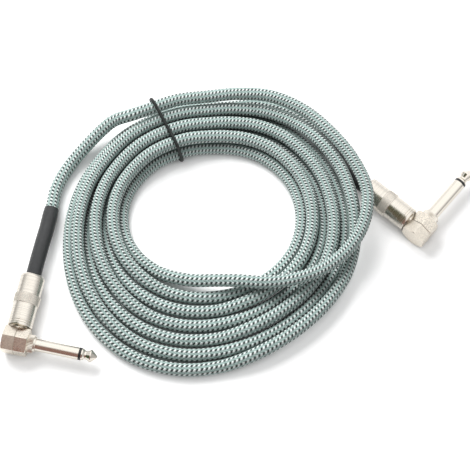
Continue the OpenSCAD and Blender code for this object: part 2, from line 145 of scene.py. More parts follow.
class Route:
    """The cord's path from plug to plug. Lengths are in millimetres until points() gives them"""

    coil_at = (-14.2, 11.6)
    turns, start_angle, tie_angle, barrel_angle = 7, 123, 119, 8
    # In turns from where the left lead joins: the end, the change of layer, and the crossing
    t_end, t_swap, cross_from, cross_to = 7.125, 0.64, 0.315, 0.58
    rings_per_turn, first_slot = 24, 7.05
    # How the pile isn't round: the innermost turn's radius, and the spread of the turns
    inner_waves = ((1, -1, -3), (2, 3.5, 0.6), (3, -0.4, -0.2))
    spread_waves = (
        (1, 0.062, -0.236), (2, -0.047, 0.066), (3, 0.034, 0.017), (4, -0.005, -0.019))
    mean_spread, least_spread = 0.723, 0.51
    head_af, barrel_d, barrel_at, barrel_len = 12.5, 12.5, 7.0, 27.7
    barrel_ways = (78, 139.5)
    # Along the barrel's axis: the jacket's cut end, and the sleeve's end inside the barrel
    jacket_end, sleeve_from = 14.0, 16.0
    # From the ends of the coil: the plugs, and the leads' points with their height
    plug_offsets = ((-62.9, -121.2), (92.65, -69.3))
    left_points = (
        (-17.5, -4.8, 8.6), (-24.7, -9.7, 5.2), (-31.5, -16.1, 2.4), (-37.8, -23.3, 0.6),
        (-42.9, -31.2, 0), (-46.4, -39.6, 0.2))
    right_points = (
        (16.1, -0.6, 0), (23.4, -3, 0), (30.4, -6.6, 0), (36.9, -11.3, 0.1),
        (43.2, -17.2, 0.6), (49.1, -24.1, 0.7), (54.1, -30.7, 1.2))
    # The same from each plug, along its barrel and to its side, where the sleeve holds it
    straights = (
        ((72.5, -0.4, 0.8), (62, 0, 2), (51, 0, 3.5), (41, 0, None)),
        ((49.5, 1.7, 2.1), (41, 0, None)))
    sleeve_points = (6, 7)
    tie_gap = 0.15

    def __init__(self, sizes):
        self.cord_d = sizes.cord_d / MM
        self.cord_r = self.cord_d / 2
        self.coil_r = sizes.coil_r / MM
        self.step = self.cord_d + sizes.turn_gap / MM
        self.tie_d = sizes.tie_d / MM
        self.axis_z = self.head_af / 2 / cosd(30)      # the head rests on a corner
        count = int(self.t_end * self.rings_per_turn) + 1
        self.coil_t = [i / self.rings_per_turn for i in range(count)]
        self.raw = [self.raw_lift(t) for t in self.coil_t]
        self.coil = [self.coil_point(i) for i in range(count)]
        self.ends = (self.coil[0], self.coil[-1])
        self.reach = max(1.0, self.radius(self.t_end) / 60)
        self.leads = (self.lead(0), self.lead(1))

    def angle(self, t):
        return self.start_angle + 3600 - 360 * t

    def inner_r(self, a):
        return self.coil_r + waves(a, self.inner_waves)

    def spread(self, a):
        """From one turn to the next, in steps. Two layers need half a step at least"""
        return max(self.least_spread, self.mean_spread + waves(a, self.spread_waves))

    def crossed(self, t):
        return ease((t - self.cross_from) / (self.cross_to - self.cross_from))

    def slot(self, t):
        """Place in the pile, in turns from the innermost. The first turn draws in to pass over
        the barrel, and each turn leans in where it changes layer"""
        first = (self.first_slot - 0.65 * ease((t - 0.17) / 0.08)
                 + 0.4 * ease((t - 0.27) / 0.05))
        dip = 0.08 * ease(1.5 * (1 - abs(t - self.t_swap - 0.05) / 0.1))
        crossed = self.crossed(t)
        return first * (1 - crossed) + (max(t - self.t_swap, 0) - dip) * crossed

    def radius(self, t):
        a = self.angle(t)
        pinch = 1 - 0.07 * self.crossed(t) * bump(a, 16, 44, 1.4)
        return self.inner_r(a) + self.slot(t) * self.spread(a) * pinch * self.step

    def ride(self, apart):
        """Height of a turn over one that lies a distance to its side"""
        return math.sqrt(max(0.0, self.step ** 2 - apart ** 2))

    def lift(self, t):
        """Height of a turn of the spiral. The last one rises to meet its plug"""
        if math.floor(t - self.t_swap) % 2 != 1:
            return 0.0
        rise = 5 * bump(self.angle(t), 18, 40, 1.5) if t > self.turns - 1 else 0.0
        near = [n for n in (t - 1, t + 1) if self.t_swap <= n <= self.t_end + 0.2]
        return rise + max([0.0] + [self.ride(self.radius(n) - self.radius(t)) for n in near])

    def raw_lift(self, t):
        """The same with the first turn, which lies on whatever is under it"""
        if t >= self.t_swap:
            return self.lift(t)
        square = 1 - (0.22 * ease((t - self.cross_from + 0.035) / 0.1)
                      * ease((self.cross_to + 0.02 - t) / 0.05))
        highest = 0.0
        for j in range(1, self.turns + 1):
            apart = square * abs(self.radius(t + j) - self.radius(t))
            if apart < self.step and t + j < self.t_end + 0.2:
                highest = max(highest, self.lift(t + j) + self.ride(apart))
        over_barrel = ((self.axis_z + self.barrel_d / 2 + 0.5)
                       * bump(self.angle(t), self.barrel_angle, 34, 1.5))
        return max(highest, over_barrel)

    def crest(self, i):
        return max(self.raw[max(i - 1, 0):i + 2])

    def ring_lift(self, i):
        """The same with the first turn smoothed, as a stiff cord bridges what it lies on"""
        t = self.coil_t[i]
        if t >= self.t_swap + 0.04:
            return self.raw[i]
        near = [self.crest(k) for k in range(max(i - 2, 0), i + 3)]
        soft = sum(near) / len(near)
        return max(soft, self.raw[i]) if t < self.t_swap else soft

    def tie_rise(self, a):
        return (self.tie_d + self.tie_gap) * bump(a, self.tie_angle, 36, 1.6)

    def coil_point(self, i):
        t = self.coil_t[i]
        a, r = self.angle(t), self.radius(t)
        return Vector((self.coil_at[0] + r * cosd(a), self.coil_at[1] + r * sind(a),
                       self.cord_r + self.ring_lift(i) + self.tie_rise(a)))

    def from_end(self, side, p, z):
        end = self.ends[side]
        return Vector((end.x + self.reach * p[0], end.y + self.reach * p[1], z))

    def plug(self, side):
        return self.from_end(side, self.plug_offsets[side], self.axis_z)

    def by_plug(self, side, c, s, z):
        w, o = self.barrel_ways[side], self.plug(side)
        return Vector((o.x + c * cosd(w) + s * sind(w), o.y + c * sind(w) - s * cosd(w), z))

    def plug_place(self, side):
        """From a plug's own axes, with its shaft along x and its barrel along y, to the frame's"""
        turned = Matrix.Rotation(math.radians(self.barrel_ways[side] - 90), 4, "Z")
        return Matrix.Translation(self.plug(side) * MM) @ turned

    def lead(self, side):
        end = self.ends[side]
        near = self.coil[1] if side == 0 else self.coil[-2]
        way = Vector((end.x - near.x, end.y - near.y, 0)).normalized()
        rest = self.axis_z - self.cord_r - 0.1 * side
        path = [end.copy(), end + 1.25 * self.cord_d * way]
        path += [self.from_end(side, p, self.cord_r + p[2])
                 for p in (self.left_points, self.right_points)[side]]
        path += [self.by_plug(side, c, s, self.cord_r + (rest if z is None else z))
                 for c, s, z in self.straights[side]]
        path += [self.by_plug(side, c, 0, self.axis_z)
                 for c in (34, self.sleeve_from, self.jacket_end)]
        return path

    def points(self):
        """Every point of the cord in metres, from the left plug to the right one"""
        left, right = self.leads
        return [p * MM for p in list(reversed(left))[:-1] + self.coil + right[1:]]

    def stitch_share(self, point):
        """The jacket is pushed together at the sides of the pile, and drawn out at its front"""
        a = math.atan2(point.y / MM - self.coil_at[1], point.x / MM - self.coil_at[0])
        return 0.97 - 0.143 * math.sin(a) - 0.143 * math.cos(2 * a)

    def sleeve(self, side):
        """Points that a strain sleeve covers, in metres, from its free end into the barrel"""
        path = self.leads[side]
        last = len(path) - 2
        return [p * MM for p in path[last - self.sleeve_points[side] + 1:last + 1]]

    def tie(self):
        """Points of the tie's loop in metres: an arc round each corner of the pile under it"""
        def corner(turn):
            t = turn + (self.start_angle - self.tie_angle) / 360
            lift = self.ring_lift(0) if turn == 0 else self.raw_lift(t)
            return Vector((self.radius(t), self.cord_r + self.tie_rise(self.tie_angle) + lift))
        corners = [corner(1), corner(self.turns), corner(0), corner(2)]
        out = self.cord_r + self.tie_gap + self.tie_d / 2
        steps = 8
        path = []
        for i, c in enumerate(corners):
            before, after = c - corners[i - 1], corners[(i + 1) % 4] - c
            a = math.degrees(math.atan2(before.y, before.x)) - 90
            b = math.degrees(math.atan2(after.y, after.x)) - 90
            sweep = (b - a + 720) % 360
            for k in range(steps + 1):
                w = a + sweep * k / steps
                r = c.x + out * cosd(w)
                path.append(Vector((self.coil_at[0] + r * cosd(self.tie_angle),
                                    self.coil_at[1] + r * sind(self.tie_angle),
                                    c.y + out * sind(w))) * MM)
        # A point near each end of the straight stretches keeps them straight
        taut = []
        for i, point in enumerate(path):
            taut.append(point)
            if i % (steps + 1) == steps:
                far = path[(i + 1) % len(path)]
                taut += [point.lerp(far, 0.06), point.lerp(far, 0.94)]
        return taut


# ---- Curves and meshes ----
def smooth_line(points, spacing, closed=False):
    """A line through the points, bent evenly between them, with points about spacing apart"""
    count = len(points)
    line = []
    for i in range(count if closed else count - 1):
        if closed:
            a, b, c, d = (points[(i + k) % count] for k in (-1, 0, 1, 2))
        else:
            b, c = points[i], points[i + 1]
            a = points[i - 1] if i else b + b - c
            d = points[i + 2] if i + 2 < count else c + c - b
        ta, tb, tc = (max((v - u).length, 1e-6) for u, v in ((a, b), (b, c), (c, d)))
        out = ((b - a) / ta - (c - a) / (ta + tb) + (c - b) / tb) * tb
        into = ((c - b) / tb - (d - b) / (tb + tc) + (d - c) / tc) * tb
        steps = max(1, round(tb / spacing))
        for k in range(steps):
            u = k / steps
            line.append(b * (2 * u ** 3 - 3 * u ** 2 + 1) + out * (u ** 3 - 2 * u ** 2 + u)
                        + c * (3 * u ** 2 - 2 * u ** 3) + into * (u ** 3 - u ** 2))
    if not closed:
        line.append(points[-1].copy())
    return line


def ring_axes(line, i):
    """Up and across for the ring at a point of an open line"""
    way = line[min(i + 1, len(line) - 1)] - line[max(i - 1, 0)]
    way.normalize()
    across = way.cross(Vector((0, 0, 1))).normalized()
    return across.cross(way), across


def even_axes(line):
    """Side and up of each ring of a closed loop that stands upright, with no sudden turn"""
    middle = sum(line, Vector()) / len(line)
    flat = (line[len(line) // 3] - middle).cross(line[0] - middle).normalized()
    axes = []
    for i in range(len(line)):
        way = (line[(i + 1) % len(line)] - line[i - 1]).normalized()
        axes.append((flat, flat.cross(way)))
    return axes


def lengths_along(line):
    """How far along a line each of its points lies"""
    total, out = 0.0, [0.0]
    for a, b in zip(line, line[1:]):
        total += (b - a).length
        out.append(total)
    return out


def ring_of(bm, centre, first, second, radii):
    """A ring of vertices round a point, turning from the first direction to the second"""
    turns = [2 * math.pi * k / len(radii) for k in range(len(radii))]
    return [bm.verts.new(centre + r * (first * math.cos(a) + second * math.sin(a)))
            for a, r in zip(turns, radii)]


def tube_rings(bm, line, radii, count):
    """A ring of as many vertices round each point of a line"""
    return [ring_of(bm, centre, *ring_axes(line, i), [radii[i]] * count)
            for i, centre in enumerate(line)]


def skin(bm, rings, closed=False):
    """Faces from each ring to the next, and from the last to the first if closed"""
    faces = []
    for i in range(len(rings) if closed else len(rings) - 1):
        ring, after = rings[i], rings[(i + 1) % len(rings)]
        for k in range(len(ring)):
            n = (k + 1) % len(ring)
            faces.append(bm.faces.new((ring[k], ring[n], after[n], after[k])))
    return faces


def corners_of(face_number, count):
    """(ring, vertex) at each corner of a skin's face, where rings have as many vertices"""
    i, k = divmod(face_number, count)
    return (i, k), (i, k + 1), (i + 1, k + 1), (i + 1, k)


def new_piece(name, bm, materials, smooth=True):
    mesh = bpy.data.meshes.new(name)
    bm.normal_update()
    bm.to_mesh(mesh)
    bm.free()
    for material in materials:
        mesh.materials.append(material)
    if smooth:
        mesh.polygons.foreach_set("use_smooth", [True] * len(mesh.polygons))
    piece = bpy.data.objects.new(name, mesh)
    bpy.context.scene.collection.objects.link(piece)
    return piece


def shade_by_angle(piece, degrees=35):
    """Smooth shading, with an edge kept sharp where its faces meet at more than this angle"""
    limit = math.radians(degrees)
    bm = bmesh.new()
    bm.from_mesh(piece.data)
    for edge in bm.edges:
        edge.smooth = len(edge.link_faces) == 2 and edge.calc_face_angle(0) < limit
    for face in bm.faces:
        face.smooth = True
    bm.to_mesh(piece.data)
    bm.free()
    return piece


# ---- Materials ----
def linear(code):
    """An sRGB hex colour as Blender's linear RGBA"""
    parts = [int(code[i:i + 2], 16) / 255 for i in (1, 3, 5)]
    return [c / 12.92 if c <= 0.04045 else ((c + 0.055) / 1.055) ** 2.4 for c in parts] + [1.0]


def add(tree, kind, inputs=None, **settings):
    """Adds a node. An input is a value, a socket, or a node whose first output is taken.
    In a Map Range, inputs 1 and 2 are what 3 and 4 are made from"""
    node = tree.nodes.new(kind)
    for key, value in settings.items():
        setattr(node, key, value)
    for key, value in (inputs or {}).items():
        if isinstance(value, bpy.types.Node):
            tree.links.new(value.outputs[0], node.inputs[key])
        elif isinstance(value, bpy.types.NodeSocket):
            tree.links.new(value, node.inputs[key])
        else:
            node.inputs[key].default_value = value
    return node


def new_material(name, **surface):
    """A material with one Principled shader, whose sockets are set by name with _ for spaces"""
    material = bpy.data.materials.new(name)
    material.use_nodes = True
    tree = material.node_tree
    tree.nodes.clear()
    shader = add(tree, "ShaderNodeBsdfPrincipled",
                 {key.replace("_", " "): value for key, value in surface.items()})
    add(tree, "ShaderNodeOutputMaterial", {"Surface": shader})
    return material, tree, shader


def woven_polyester_jacket(colours):
    """Braided polyester: pale yarns cross a teal ground as rows of short slanting stitches"""
    # Dull enough for the stitches, not the lamp, to make its light and dark
    material, tree, shader = new_material(
        "woven_polyester_jacket", Roughness=0.6, IOR=1.5, Sheen_Weight=0.12,
        Sheen_Roughness=0.5)
    # The map counts stitches along the cord and pale yarns round it, so p and q run across
    # the two sets of yarns
    weave = add(tree, "ShaderNodeUVMap", uv_map="weave")
    xy = add(tree, "ShaderNodeSeparateXYZ", {0: weave})
    p = add(tree, "ShaderNodeMath", {0: xy.outputs[0], 1: xy.outputs[1]}, operation="ADD")
    q = add(tree, "ShaderNodeMath", {0: xy.outputs[0], 1: xy.outputs[1]},
            operation="SUBTRACT")

    def grains(shift, half_width, half_length):
        """A stitch in every other cell, from 1 in its middle to 0 at its edge and outside"""
        cells, offsets = [], []
        for value in (p, q):
            moved = add(tree, "ShaderNodeMath", {0: value, 1: shift}, operation="ADD")
            cell = add(tree, "ShaderNodeMath", {0: moved}, operation="FLOOR")
            inside = add(tree, "ShaderNodeMath", {0: moved, 1: cell}, operation="SUBTRACT")
            cells.append(cell)
            offsets.append(add(tree, "ShaderNodeMath", {0: inside, 1: 0.5},
                               operation="SUBTRACT"))
        count = add(tree, "ShaderNodeMath", {0: cells[0], 1: cells[1]}, operation="ADD")
        half = add(tree, "ShaderNodeMath", {0: count, 1: 0.5}, operation="MULTIPLY")
        odd = add(tree, "ShaderNodeMath", {0: half}, operation="FRACT")
        here = add(tree, "ShaderNodeMath", {0: odd, 1: 0.25}, operation="LESS_THAN")
        away = add(tree, "ShaderNodeCombineXYZ", {0: offsets[0], 1: offsets[1]})
        shaped = add(tree, "ShaderNodeVectorMath",
                     {0: away, 1: (1 / half_width, 1 / half_length, 0)},
                     operation="MULTIPLY")
        size = add(tree, "ShaderNodeVectorMath", {0: shaped}, operation="LENGTH")
        round_top = add(tree, "ShaderNodeMapRange",
                        {0: size.outputs["Value"], 1: 0.35, 2: 1.15, 3: 1.0, 4: 0.0},
                        interpolation_type="SMOOTHSTEP")
        grain = add(tree, "ShaderNodeMath", {0: round_top, 1: here}, operation="MULTIPLY")
        return grain, cells, offsets

    pale, cells, offsets = grains(0.0, 0.38, 0.85)
    gap, _, _ = grains(0.5, 0.38, 0.85)
    # The teal yarns lie the other way, with a shallow groove between each two
    turn = add(tree, "ShaderNodeMath", {0: offsets[1], 1: math.pi}, operation="MULTIPLY")
    teal_top = add(tree, "ShaderNodeMath", {0: turn}, operation="COSINE")
    # Each stitch takes the light a little differently
    spot = add(tree, "ShaderNodeCombineXYZ", {0: cells[0], 1: cells[1]})
    chance = add(tree, "ShaderNodeTexWhiteNoise", {0: spot}, noise_dimensions="2D")
    shade = add(tree, "ShaderNodeMapRange", {0: chance, 3: 0.88, 4: 1.06})
    # Painted shade: the teal colour is darkened towards the shallow groove between each two yarns
    groove = add(tree, "ShaderNodeMapRange", {0: teal_top, 1: 0.0, 2: 0.5, 3: 0.72, 4: 1.0})
    tone = add(tree, "ShaderNodeMath", {0: shade, 1: groove}, operation="MULTIPLY")
    teal = add(tree, "ShaderNodeVectorMath", {0: linear(colours.teal_yarn)[:3], 3: tone},
               operation="SCALE")
    holes = add(tree, "ShaderNodeMix",
                {0: gap, 6: teal.outputs[0], 7: linear(colours.jacket_gap)},
                data_type="RGBA")
    colour = add(tree, "ShaderNodeMix",
                 {0: pale, 6: holes.outputs[2], 7: linear(colours.pale_yarn)},
                 data_type="RGBA")
    # Painted shade: ambient occlusion darkens the colour deep between turns that touch, where
    # shade falls
    depth = add(tree, "ShaderNodeAmbientOcclusion", {"Distance": 5 * MM}, samples=6,
                only_local=True)
    painted_crevice_shade = add(tree, "ShaderNodeMapRange", {0: depth.outputs["AO"], 1: 0.1, 2: 0.6, 3: 0.25,
                                               4: 1.0})
    seen = add(tree, "ShaderNodeVectorMath", {0: colour.outputs[2], 3: painted_crevice_shade},
               operation="SCALE")
    tree.links.new(seen.outputs[0], shader.inputs["Base Color"])
    ground = add(tree, "ShaderNodeMath", {0: teal_top, 1: 0.3, 2: 0.3},
                 operation="MULTIPLY_ADD")
    sunk = add(tree, "ShaderNodeMath", {0: gap, 1: -0.4, 2: ground},
               operation="MULTIPLY_ADD")
    height = add(tree, "ShaderNodeMath", {0: pale, 1: 0.6, 2: sunk},
                 operation="MULTIPLY_ADD")
    relief = add(tree, "ShaderNodeBump", {"Strength": 1.0, "Distance": 0.45 * MM,
                                          "Height": height})
    tree.links.new(relief.outputs[0], shader.inputs["Normal"])
    return material


def plated_nickel(name, colour, roughness, grain_mm, grain_depth, speckle=0.0):
    """Nickel plate on brass: warm and bright, with the fine marks of how it was finished"""
    material, tree, shader = new_material(
        name, Base_Color=linear(colour), Metallic=1.0, Roughness=roughness)
    place = add(tree, "ShaderNodeTexCoord")
    grain = add(tree, "ShaderNodeTexNoise",
                {0: place.outputs["Object"], "Scale": 1 / (grain_mm * MM), "Detail": 3.0,
                 "Roughness": 0.6})
    cloud = add(tree, "ShaderNodeTexNoise",
                {0: place.outputs["Object"], "Scale": 1 / (6 * MM), "Detail": 2.0})
    wear = add(tree, "ShaderNodeMapRange",
               {0: cloud, 1: 0.3, 2: 0.7, 3: roughness * 0.85, 4: roughness * 1.2})
    tree.links.new(wear.outputs[0], shader.inputs["Roughness"])
    relief = add(tree, "ShaderNodeBump", {"Strength": grain_depth, "Distance": 0.05 * MM,
                                          "Height": grain})
    tree.links.new(relief.outputs[0], shader.inputs["Normal"])
    if speckle:
        # Blasting leaves pits of some 0.05 mm: these are drawn coarser, so that they show
        tone = add(tree, "ShaderNodeMapRange",
                   {0: grain, 1: 0.35, 2: 0.65, 3: 1 - speckle, 4: 1 + speckle / 2})
        lit = add(tree, "ShaderNodeVectorMath", {0: linear(colour)[:3], 3: tone},
                  operation="SCALE")
        tree.links.new(lit.outputs[0], shader.inputs["Base Color"])
    return material


def turned_nickel(name, colour, roughness):
    """Nickel plate on turned brass: bright lines round it, from the lathe's tool"""
    material, tree, shader = new_material(
        name, Base_Color=linear(colour), Metallic=1.0, Roughness=roughness)
    # The map's first number is the distance along the axis, in millimetres
    lathe = add(tree, "ShaderNodeUVMap", uv_map="lathe")
    xy = add(tree, "ShaderNodeSeparateXYZ", {0: lathe})
    # Tool marks are some 0.05 mm apart: these are drawn coarser, so that they show
    marks = add(tree, "ShaderNodeTexNoise", {"W": xy.outputs[0], "Scale": 2.2, "Detail": 3.0,
                                             "Roughness": 0.65}, noise_dimensions="1D")
    tone = add(tree, "ShaderNodeMapRange", {0: marks, 1: 0.3, 2: 0.7, 3: 0.86, 4: 1.08})
    lit = add(tree, "ShaderNodeVectorMath", {0: linear(colour)[:3], 3: tone},
              operation="SCALE")
    tree.links.new(lit.outputs[0], shader.inputs["Base Color"])
    gloss = add(tree, "ShaderNodeMapRange",
                {0: marks, 1: 0.3, 2: 0.7, 3: roughness * 1.3, 4: roughness * 0.8})
    tree.links.new(gloss.outputs[0], shader.inputs["Roughness"])
    relief = add(tree, "ShaderNodeBump", {"Strength": 0.25, "Distance": 0.05 * MM,
                                          "Height": marks})
    tree.links.new(relief.outputs[0], shader.inputs["Normal"])
    return material


def knurled_nickel(name, colour, points, start, pitch):
    """Nickel plate over rolled diamonds: their points are glossier and the grooves duller. The
    colour is lighter at the points, a painted highlight, and darker grey in the grooves, a painted
    shade
    """
    material, tree, shader = new_material(
        name, Base_Color=linear(colour), Metallic=1.0, Roughness=0.32)
    lathe = add(tree, "ShaderNodeUVMap", uv_map="lathe")
    xy = add(tree, "ShaderNodeSeparateXYZ", {0: lathe})
    turn = add(tree, "ShaderNodeMath", {0: xy.outputs[1], 1: float(points)},
               operation="MULTIPLY")
    past = add(tree, "ShaderNodeMath", {0: xy.outputs[0], 1: start}, operation="SUBTRACT")
    row = add(tree, "ShaderNodeMath", {0: past, 1: pitch}, operation="DIVIDE")
    grooves = []
    for way in ("ADD", "SUBTRACT"):
        place = add(tree, "ShaderNodeMath", {0: turn, 1: row}, operation=way)
        inside = add(tree, "ShaderNodeMath", {0: place}, operation="FRACT")
        off = add(tree, "ShaderNodeMath", {0: inside, 1: 0.5}, operation="SUBTRACT")
        grooves.append(add(tree, "ShaderNodeMath", {0: off}, operation="ABSOLUTE"))
    deepest = add(tree, "ShaderNodeMath", {0: grooves[0], 1: grooves[1]}, operation="MAXIMUM")
    # Painted highlight and painted shade: the colour is lighter at the diamonds' points and darker
    # in the grooves
    tone = add(tree, "ShaderNodeMapRange", {0: deepest, 1: 0.25, 2: 0.48, 3: 1.1, 4: 0.5})
    lit = add(tree, "ShaderNodeVectorMath", {0: linear(colour)[:3], 3: tone},
              operation="SCALE")
    tree.links.new(lit.outputs[0], shader.inputs["Base Color"])
    gloss = add(tree, "ShaderNodeMapRange", {0: deepest, 1: 0.25, 2: 0.48, 3: 0.26, 4: 0.5})
    tree.links.new(gloss.outputs[0], shader.inputs["Roughness"])
    return material


def moulded(name, colour, roughness, ior, grain_mm, depth):
    """Plastic or rubber off a mould or die: one colour, with a faint skin"""
    material, tree, shader = new_material(
        name, Base_Color=linear(colour), Roughness=roughness, IOR=ior)
    place = add(tree, "ShaderNodeTexCoord")
    skin = add(tree, "ShaderNodeTexNoise",
               {0: place.outputs["Object"], "Scale": 1 / (grain_mm * MM), "Detail": 4.0})
    gloss = add(tree, "ShaderNodeMapRange",
                {0: skin, 1: 0.35, 2: 0.65, 3: roughness * 0.85, 4: roughness * 1.15})
    tree.links.new(gloss.outputs[0], shader.inputs["Roughness"])
    relief = add(tree, "ShaderNodeBump", {"Strength": depth, "Distance": 0.1 * MM,
                                          "Height": skin})
    tree.links.new(relief.outputs[0], shader.inputs["Normal"])
    return material


# ---- Pieces ----
def settings():
    scene = bpy.context.scene
    return scene.cable_sizes, scene.cable_colours, scene.cable_stage


def dress(name, material):
    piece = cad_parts[name]
    piece.data.materials.clear()
    piece.data.materials.append(material)


class CABLE_OT_stage(bpy.types.Operator):
    """Floor, lamp, sky and camera"""
    bl_idname = "cable.stage"
    bl_label = "Stage"
    looks_at, lens, sensor = (-2.5, 0.2, 0), 135.53, 36     # millimetres
    floor_reach = 3
    lamp_at, lamp_size = (-0.45, 0.75, 0.95), (0.9, 0.7)

    def place_camera(self, scene, look, middle):
        camera = bpy.data.objects.new("camera", bpy.data.cameras.new("camera"))
        scene.collection.objects.link(camera)
        scene.camera = camera
        back = Vector((0, -math.cos(look.camera_height), math.sin(look.camera_height)))
        camera.location = middle + back * look.camera_distance
        camera.rotation_euler = (math.pi / 2 - look.camera_height, 0, 0)
        camera.data.lens = self.lens
        camera.data.sensor_width = self.sensor
        camera.data.clip_start = 0.01

    def lay_floor(self, look):
        """White paper. The glow that whitens it fades in the gaps under the cord"""
        floor_mesh = bmesh.new()
        bmesh.ops.create_grid(floor_mesh, x_segments=4, y_segments=4, size=self.floor_reach)
        material, tree, shader = new_material(
            "white_paper", Base_Color=linear(look.paper), Roughness=0.9)
        glow = add(tree, "ShaderNodeEmission", {0: (1, 1, 1, 1)})
        path = add(tree, "ShaderNodeLightPath")
        seen = add(tree, "ShaderNodeMath", {0: path.outputs["Is Camera Ray"],
                                            1: path.outputs["Is Glossy Ray"]},
                   operation="MAXIMUM")
        open_to = add(tree, "ShaderNodeAmbientOcclusion", {"Distance": 8 * MM})
        clear = add(tree, "ShaderNodeMapRange", {0: open_to.outputs["AO"], 1: 0.25, 2: 0.75,
                                                 3: 0.0, 4: 0.4})
        lift = add(tree, "ShaderNodeMath", {0: seen, 1: clear}, operation="MULTIPLY")
        tree.links.new(lift.outputs[0], glow.inputs[1])
        both = add(tree, "ShaderNodeAddShader", {0: shader, 1: glow})
        tree.links.new(both.outputs[0], tree.nodes["Material Output"].inputs[0])
        floor = new_piece("floor", floor_mesh, [material], smooth=False)

    def hang_lamp(self, scene, look, middle):
        lamp = bpy.data.lights.new("key", "AREA")
        lamp.shape = "RECTANGLE"
        lamp.size, lamp.size_y = self.lamp_size
        lamp.energy = look.key_power
        key = bpy.data.objects.new("key", lamp)
        key.location = self.lamp_at
        key.rotation_euler = (middle - key.location).to_track_quat("-Z", "Y").to_euler()
        key.visible_glossy = False      # what metal reflects is all in the sky
        scene.collection.objects.link(key)

    def draw_sky(self, scene, look):
        """White to the camera, and an even light to all but reflections. Those see a tent of
        white paper, brightest overhead and at the back, whose open side is to the front left:
        there the dim room shows, brown in front and grey at the left"""
        world = bpy.data.worlds.new("sky")
        scene.world = world
        world.use_nodes = True
        tree = world.node_tree
        tree.nodes.clear()
        place = add(tree, "ShaderNodeTexCoord")
        way = add(tree, "ShaderNodeSeparateXYZ", {0: place.outputs["Generated"]})
        up = add(tree, "ShaderNodeMapRange", {0: way.outputs[2], 1: 0.2, 2: 0.9, 3: 0.62,
                                              4: 1.55}, interpolation_type="SMOOTHSTEP")
        behind = add(tree, "ShaderNodeMapRange", {0: way.outputs[1], 1: 0.5, 2: 0.95, 3: 0.0,
                                                  4: 0.65}, interpolation_type="SMOOTHSTEP")
        tent = add(tree, "ShaderNodeMath", {0: up, 1: behind}, operation="ADD")

        def facing(direction, low, high):
            """From 0 to 1 as a reflection turns towards a direction"""
            turn = add(tree, "ShaderNodeVectorMath",
                       {0: place.outputs["Generated"], 1: direction}, operation="DOT_PRODUCT")
            return add(tree, "ShaderNodeMapRange", {0: turn.outputs["Value"], 1: low, 2: high},
                       interpolation_type="SMOOTHSTEP")

        opening = add(tree, "ShaderNodeMath", {0: facing((-1, -0.05, -0.18), 0.0, 0.1),
                                               1: facing((0, -1, 0.3), 0.0, 0.12)},
                      operation="MULTIPLY")
        dim = add(tree, "ShaderNodeMix",
                  {0: facing((1, -1, 0), -0.2, 0.15), 6: linear(look.room_left),
                   7: linear(look.room_front)}, data_type="RGBA")
        white_paper = add(tree, "ShaderNodeVectorMath", {0: (1.0, 1.0, 1.0), 3: tent},
                          operation="SCALE")
        room = add(tree, "ShaderNodeMix",
                   {0: opening, 6: white_paper.outputs[0], 7: dim.outputs[2]},
                   data_type="RGBA")
        path = add(tree, "ShaderNodeLightPath")
        even = add(tree, "ShaderNodeBackground", {0: (1, 1, 1, 1), 1: look.sky})
        seen = add(tree, "ShaderNodeBackground", {0: room.outputs[2], 1: 1.0})
        white = add(tree, "ShaderNodeBackground", {0: (1, 1, 1, 1), 1: 1.0})
        light = add(tree, "ShaderNodeMixShader",
                    {0: path.outputs["Is Glossy Ray"], 1: even, 2: seen})
        both = add(tree, "ShaderNodeMixShader",
                   {0: path.outputs["Is Camera Ray"], 1: light, 2: white})
        add(tree, "ShaderNodeOutputWorld", {0: both})

    def execute(self, context):
        _, _, look = settings()
        scene = context.scene
        middle = Vector(self.looks_at) * MM
        self.place_camera(scene, look, middle)
        self.lay_floor(look)
        self.hang_lamp(scene, look, middle)
        self.draw_sky(scene, look)
        scene.view_settings.view_transform = "Standard"
        return {"FINISHED"}


